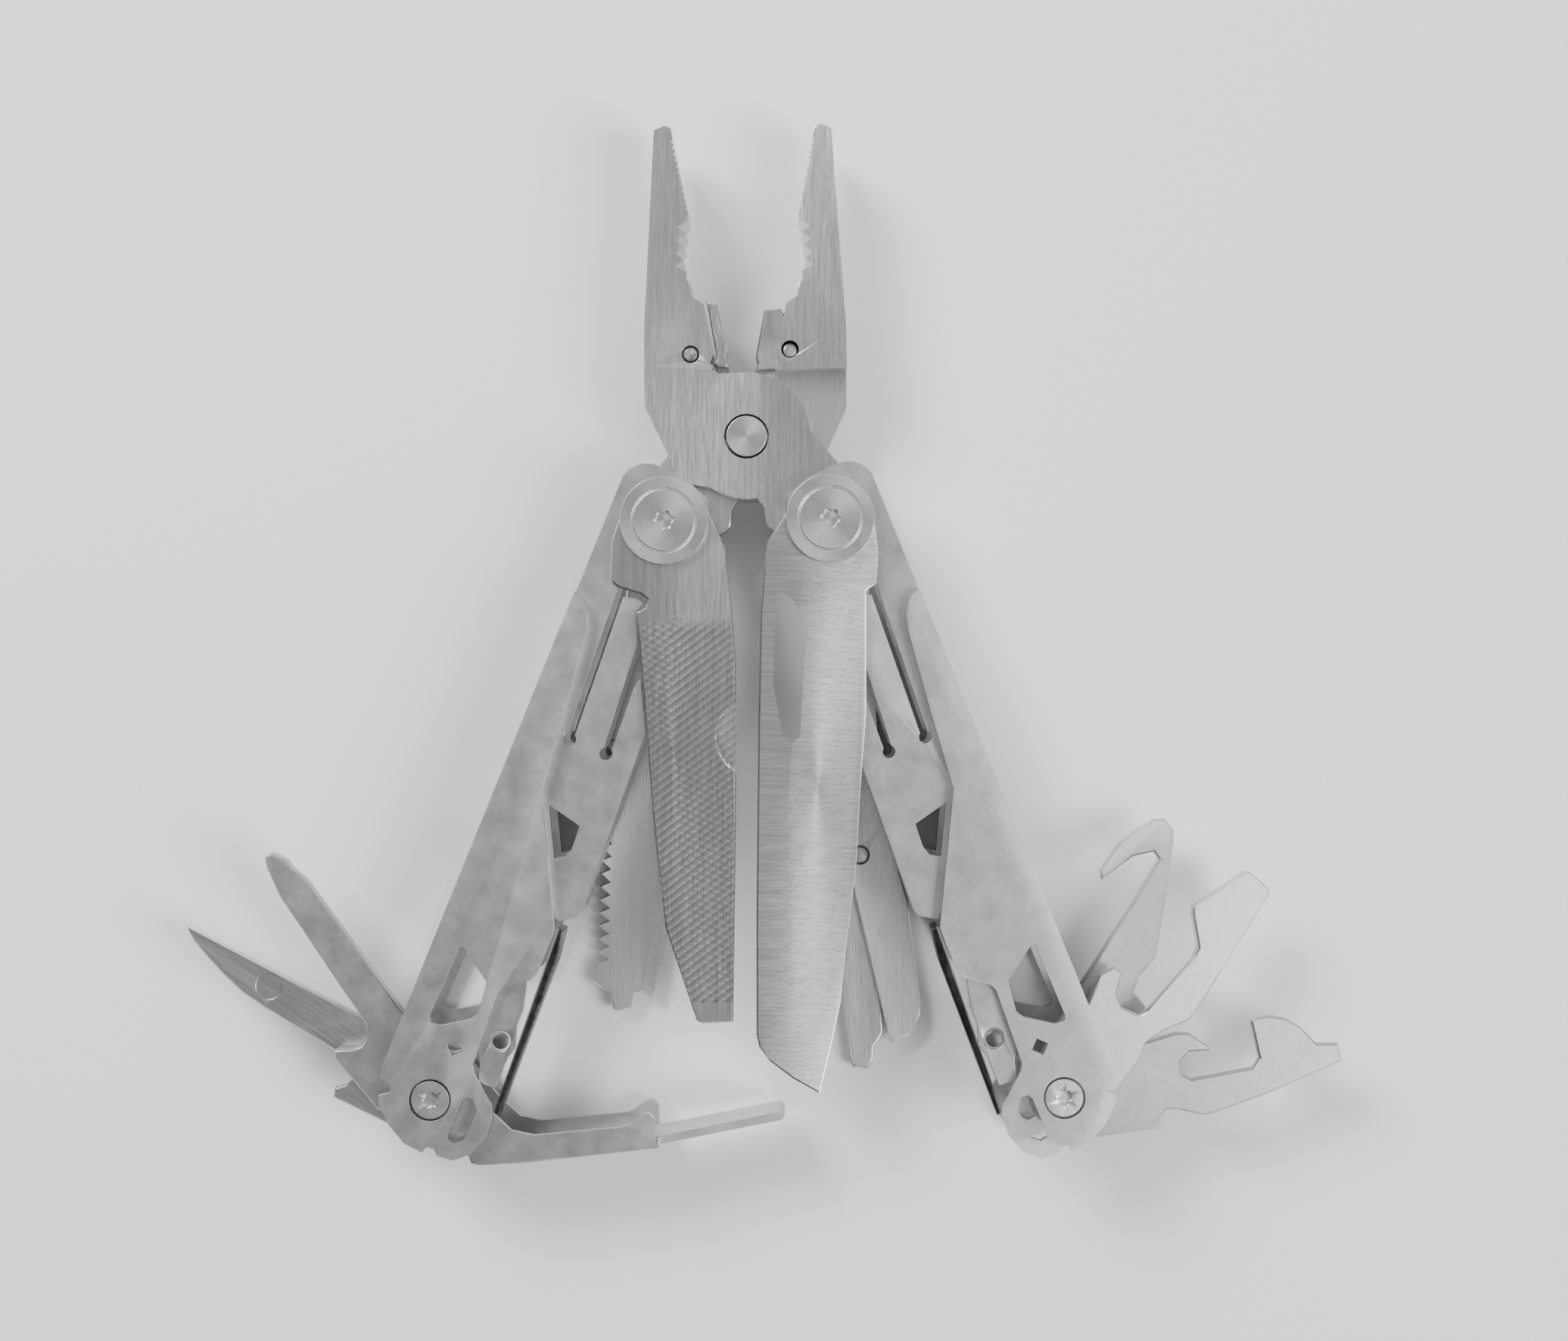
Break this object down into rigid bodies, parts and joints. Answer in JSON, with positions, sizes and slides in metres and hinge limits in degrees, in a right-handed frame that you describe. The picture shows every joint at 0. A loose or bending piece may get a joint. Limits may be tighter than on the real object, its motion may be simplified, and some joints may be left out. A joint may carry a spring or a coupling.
{
  "type": "multi tool",
  "caption": "Folding steel multi tool lying open: plier head on two channel handles, with outer blades and inner tools fanned out.",
  "frame": {"origin": "centre of the bounding box, on the plane the tool lies on", "axes": "+Z out of the front face, +Y towards the plier tips, +X to the right seen from the front"},
  "size_m": [0.1708, 0.1522, 0.0194],
  "materials": {
    "satin_steel": "bead blasted",
    "ground_steel": "brushed",
    "black_oxide": "satin"
  },
  "bodies": {
    "jaw_front": {"jaw_front": "satin_steel", "cutter_front": "ground_steel", "cutter_pin": "black_oxide", "plier_rivet": "ground_steel", "tang_washer_right": "ground_steel"},
    "jaw_back": {"jaw_back": "satin_steel", "cutter_back": "ground_steel", "cutter_screw": "ground_steel", "tang_washer_left": "ground_steel"},
    "handle_left": {"handle_left": "satin_steel", "lock_lever_left": "satin_steel", "lock_pin_left": "black_oxide", "back_spring_left": "black_oxide", "pivot_screw_left": "satin_steel", "pivot_nut_left": "satin_steel", "end_screw_left": "satin_steel", "end_nut_left": "satin_steel", "end_spacer_left": "ground_steel"},
    "handle_right": {"handle_right": "satin_steel", "lock_lever_right": "satin_steel", "lock_pin_right": "black_oxide", "back_spring_right": "black_oxide", "pivot_screw_right": "satin_steel", "pivot_nut_right": "satin_steel", "end_screw_right": "satin_steel", "end_nut_right": "satin_steel", "end_spacer_right": "ground_steel"},
    "file": {"file": "ground_steel"},
    "saw": {"saw": "ground_steel"},
    "small_blade": {"small_blade": "ground_steel"},
    "phillips_driver": {"phillips_driver": "satin_steel"},
    "folding_lever": {"folding_lever": "satin_steel"},
    "knife_blade": {"knife_blade": "ground_steel"},
    "gut_hook": {"gut_hook": "ground_steel"},
    "flat_driver": {"flat_driver": "satin_steel"},
    "can_opener": {"can_opener": "ground_steel"},
    "scissors": {"scissors_body": "ground_steel", "scissors_rivet": "ground_steel"},
    "scissors_lever": {"scissors_lever": "ground_steel"}
  },
  "joints": [
    {"name": "jaw_pivot", "type": "hinge", "parent": "jaw_front", "child": "jaw_back", "pos_m": [-0.00249, 0.03031, 0], "axis": [0, 0, 1], "range_deg": [-8, 1]},
    {"name": "left_handle_pivot", "type": "hinge", "parent": "jaw_back", "child": "handle_left", "pos_m": [-0.01437, 0.0177, 0], "axis": [0, 0, -1], "range_deg": [0, 140]},
    {"name": "right_handle_pivot", "type": "hinge", "parent": "jaw_front", "child": "handle_right", "pos_m": [0.00971, 0.01801, 0], "axis": [0, 0, 1], "range_deg": [0, 140]},
    {"name": "file_pivot", "type": "hinge", "parent": "handle_left", "child": "file", "pos_m": [-0.01437, 0.0177, 0], "axis": [0, 0, -1], "range_deg": [-1, 14]},
    {"name": "saw_pivot", "type": "hinge", "parent": "handle_left", "child": "saw", "pos_m": [-0.01437, 0.0177, 0], "axis": [0, 0, -1], "range_deg": [-15, 4]},
    {"name": "knife_pivot", "type": "hinge", "parent": "handle_right", "child": "knife_blade", "pos_m": [0.00971, 0.01801, 0], "axis": [0, 0, 1], "range_deg": [-1, 12]},
    {"name": "scissors_pivot", "type": "hinge", "parent": "handle_right", "child": "scissors", "pos_m": [0.00971, 0.01801, 0], "axis": [0, 0, 1], "range_deg": [-12, 3]},
    {"name": "scissors_lever_pivot", "type": "hinge", "parent": "scissors", "child": "scissors_lever", "pos_m": [0.01451, -0.03189, 0], "axis": [0, 0, -1], "range_deg": [0, 6]},
    {"name": "small_blade_pivot", "type": "hinge", "parent": "handle_left", "child": "small_blade", "pos_m": [-0.04827, -0.06621, 0], "axis": [0, 0, -1], "range_deg": [-102, 77]},
    {"name": "phillips_pivot", "type": "hinge", "parent": "handle_left", "child": "phillips_driver", "pos_m": [-0.04827, -0.06621, 0], "axis": [0, 0, -1], "range_deg": [-125, 54]},
    {"name": "folding_lever_pivot", "type": "hinge", "parent": "handle_left", "child": "folding_lever", "pos_m": [-0.04827, -0.06621, 0], "axis": [0, 0, 1], "range_deg": [0, 50]},
    {"name": "gut_hook_pivot", "type": "hinge", "parent": "handle_right", "child": "gut_hook", "pos_m": [0.04361, -0.0659, 0], "axis": [0, 0, 1], "range_deg": [-138, 42]},
    {"name": "flat_driver_pivot", "type": "hinge", "parent": "handle_right", "child": "flat_driver", "pos_m": [0.04361, -0.0659, 0], "axis": [0, 0, 1], "range_deg": [-115, 64]},
    {"name": "can_opener_pivot", "type": "hinge", "parent": "handle_right", "child": "can_opener", "pos_m": [0.04361, -0.0659, 0], "axis": [0, 0, 1], "range_deg": [-75, 104]}
  ]
}
